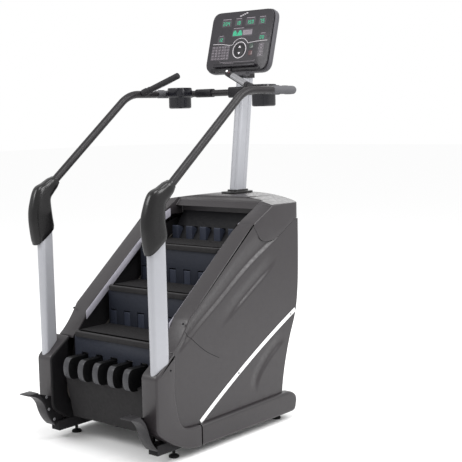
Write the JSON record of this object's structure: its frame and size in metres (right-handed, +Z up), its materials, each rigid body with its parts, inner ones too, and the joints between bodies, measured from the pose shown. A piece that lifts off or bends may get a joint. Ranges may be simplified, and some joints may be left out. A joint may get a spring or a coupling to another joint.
{
  "type": "stair climber",
  "caption": "Free-standing stair climber gym machine with moving steps between side covers, two handrails on posts, cup holders and a mast-mounted console.",
  "frame": {"origin": "floor level under the middle of the footprint", "axes": "+Z up, +Y the way the climber faces, towards the console, +X to the climber's right"},
  "size_m": [0.878, 1.4128, 2.2212],
  "materials": {
    "frame_steel": "black powder coat, fine texture",
    "foot_rubber": "matt black rubber pad",
    "tread_rubber": "pebbled dark grey anti-slip surface",
    "riser_plastic": "blue-grey moulded plastic, light grain",
    "bare_steel": "turned steel",
    "chain_steel": "oiled roller chain",
    "belt_rubber": "ribbed black belt",
    "cover_plastic": "charcoal moulded plastic, fine leather grain",
    "gloss_black": "polished black moulding",
    "guard_silver": "satin silver strip",
    "trim_white": "white self-adhesive trim",
    "silver_extrusion": "silver powder-coated extrusion",
    "tube_dark": "dark grey satin tube",
    "grip_grey": "stippled mid-grey sleeve",
    "grip_black": "soft dark grip",
    "console_dark": "dark console face with a printed overlay",
    "console_pale": "light grey moulded shell",
    "key_red": "red key",
    "key_green": "green key"
  },
  "bodies": {
    "root": {"base_frame": "frame_steel", "side_frame_right": "frame_steel", "side_frame_left": "frame_steel", "top_frame": "frame_steel", "hook_bracket_right": "frame_steel", "hook_bracket_left": "frame_steel", "console_bracket": "frame_steel", "step_chain_right": "chain_steel", "step_chain_left": "chain_steel", "drive_belt": "belt_rubber", "side_panel_right": "cover_plastic", "side_panel_left": "cover_plastic", "side_band_right": "cover_plastic", "side_band_left": "cover_plastic", "front_cover_right": "cover_plastic", "front_cover_left": "cover_plastic", "rail_cover_right": "cover_plastic", "rail_cover_left": "cover_plastic", "top_cap": "cover_plastic", "rear_cover": "cover_plastic", "guard_strip_right": "guard_silver", "guard_strip_left": "guard_silver", "stripe_right": "trim_white", "stripe_left": "trim_white", "post_right": "silver_extrusion", "post_left": "silver_extrusion", "mast": "silver_extrusion", "elbow_cover_right": "gloss_black", "elbow_cover_left": "gloss_black", "mast_collar": "gloss_black", "cup_holder_right": "gloss_black", "cup_holder_left": "gloss_black", "handrail_right": "tube_dark", "handrail_left": "tube_dark", "front_bar": "grip_grey", "stub_grip_right": "grip_black", "stub_grip_left": "grip_black", "console_back": "console_pale", "console_face": "console_dark"},
    "step_1": {"tread_1": "tread_rubber", "riser_1": "riser_plastic"},
    "step_2": {"tread_2": "tread_rubber", "riser_2": "riser_plastic"},
    "step_3": {"tread_3": "tread_rubber", "riser_3": "riser_plastic"},
    "step_4": {"riser_4": "riser_plastic"},
    "turned_step": {"turned_tread": "tread_rubber"},
    "drive": {"drive_shaft": "bare_steel"},
    "idler": {"idler_shaft": "bare_steel"},
    "rotor": {"alternator_rotor": "bare_steel"},
    "foot_front_right": {"foot_front_right": "foot_rubber"},
    "foot_front_left": {"foot_front_left": "foot_rubber"},
    "foot_rear_right": {"foot_rear_right": "foot_rubber"},
    "foot_rear_left": {"foot_rear_left": "foot_rubber"},
    "switch_red": {"switch_red": "key_red"},
    "switch_green": {"switch_green": "key_green"},
    "level_rocker": {"level_rocker": "console_pale"},
    "start_key": {"start_key": "key_green"},
    "stop_key": {"stop_key": "key_red"}
  },
  "joints": [
    {"name": "drive_turn", "type": "hinge", "parent": "root", "child": "drive", "pos_m": [0, 0.39572, 0.87031], "axis": [1, 0, 0], "range_deg": [0, 40]},
    {"name": "idler_turn", "type": "hinge", "parent": "root", "child": "idler", "pos_m": [0, -0.34828, 0.26071], "axis": [1, 0, 0], "range_deg": [0, 40]},
    {"name": "rotor_turn", "type": "hinge", "parent": "root", "child": "rotor", "pos_m": [0, 0.395, 0.4], "axis": [1, 0, 0], "range_deg": [0, 160]},
    {"name": "step_1_travel", "type": "slide", "parent": "root", "child": "step_1", "axis": [0, -0.7735, -0.6338], "range_m": [0, 0.0768]},
    {"name": "step_2_travel", "type": "slide", "parent": "root", "child": "step_2", "axis": [0, -0.7735, -0.6338], "range_m": [0, 0.0768]},
    {"name": "step_3_travel", "type": "slide", "parent": "root", "child": "step_3", "axis": [0, -0.7735, -0.6338], "range_m": [0, 0.0768]},
    {"name": "step_4_travel", "type": "slide", "parent": "root", "child": "step_4", "axis": [0, -0.7735, -0.6338], "range_m": [0, 0.0768]},
    {"name": "turned_tread_swing", "type": "hinge", "parent": "step_1", "child": "turned_step", "pos_m": [0, -0.418, 0.3458], "axis": [1, 0, 0], "range_deg": [0, 40]},
    {"name": "foot_front_right_screw", "type": "slide", "parent": "root", "child": "foot_front_right", "axis": [0, 0, -1], "range_m": [0, 0.015]},
    {"name": "foot_front_left_screw", "type": "slide", "parent": "root", "child": "foot_front_left", "axis": [0, 0, -1], "range_m": [0, 0.015]},
    {"name": "foot_rear_right_screw", "type": "slide", "parent": "root", "child": "foot_rear_right", "axis": [0, 0, -1], "range_m": [0, 0.015]},
    {"name": "foot_rear_left_screw", "type": "slide", "parent": "root", "child": "foot_rear_left", "axis": [0, 0, -1], "range_m": [0, 0.015]},
    {"name": "switch_red_press", "type": "slide", "parent": "root", "child": "switch_red", "axis": [-0.0959, 0.7351, -0.6712], "range_m": [0, 0.0012], "stiffness_N_per_m": 400},
    {"name": "switch_green_press", "type": "slide", "parent": "root", "child": "switch_green", "axis": [-0.0959, 0.7351, -0.6712], "range_m": [0, 0.0012], "stiffness_N_per_m": 400},
    {"name": "level_rocker_press", "type": "slide", "parent": "root", "child": "level_rocker", "axis": [0, 0.9627, -0.2706], "range_m": [0, 0.001], "stiffness_N_per_m": 600},
    {"name": "start_key_press", "type": "slide", "parent": "root", "child": "start_key", "axis": [0, 0.9627, -0.2706], "range_m": [0, 0.001], "stiffness_N_per_m": 600},
    {"name": "stop_key_press", "type": "slide", "parent": "root", "child": "stop_key", "axis": [0, 0.9627, -0.2706], "range_m": [0, 0.001], "stiffness_N_per_m": 600}
  ],
  "couplings": [
    {"joint": "idler_turn", "follows": "drive_turn", "ratio": 1},
    {"joint": "rotor_turn", "follows": "drive_turn", "ratio": 4},
    {"joint": "step_1_travel", "follows": "drive_turn", "m_per_rad": 0.11},
    {"joint": "step_2_travel", "follows": "drive_turn", "m_per_rad": 0.11},
    {"joint": "step_3_travel", "follows": "drive_turn", "m_per_rad": 0.11},
    {"joint": "step_4_travel", "follows": "drive_turn", "m_per_rad": 0.11},
    {"joint": "turned_tread_swing", "follows": "drive_turn", "ratio": 1}
  ]
}
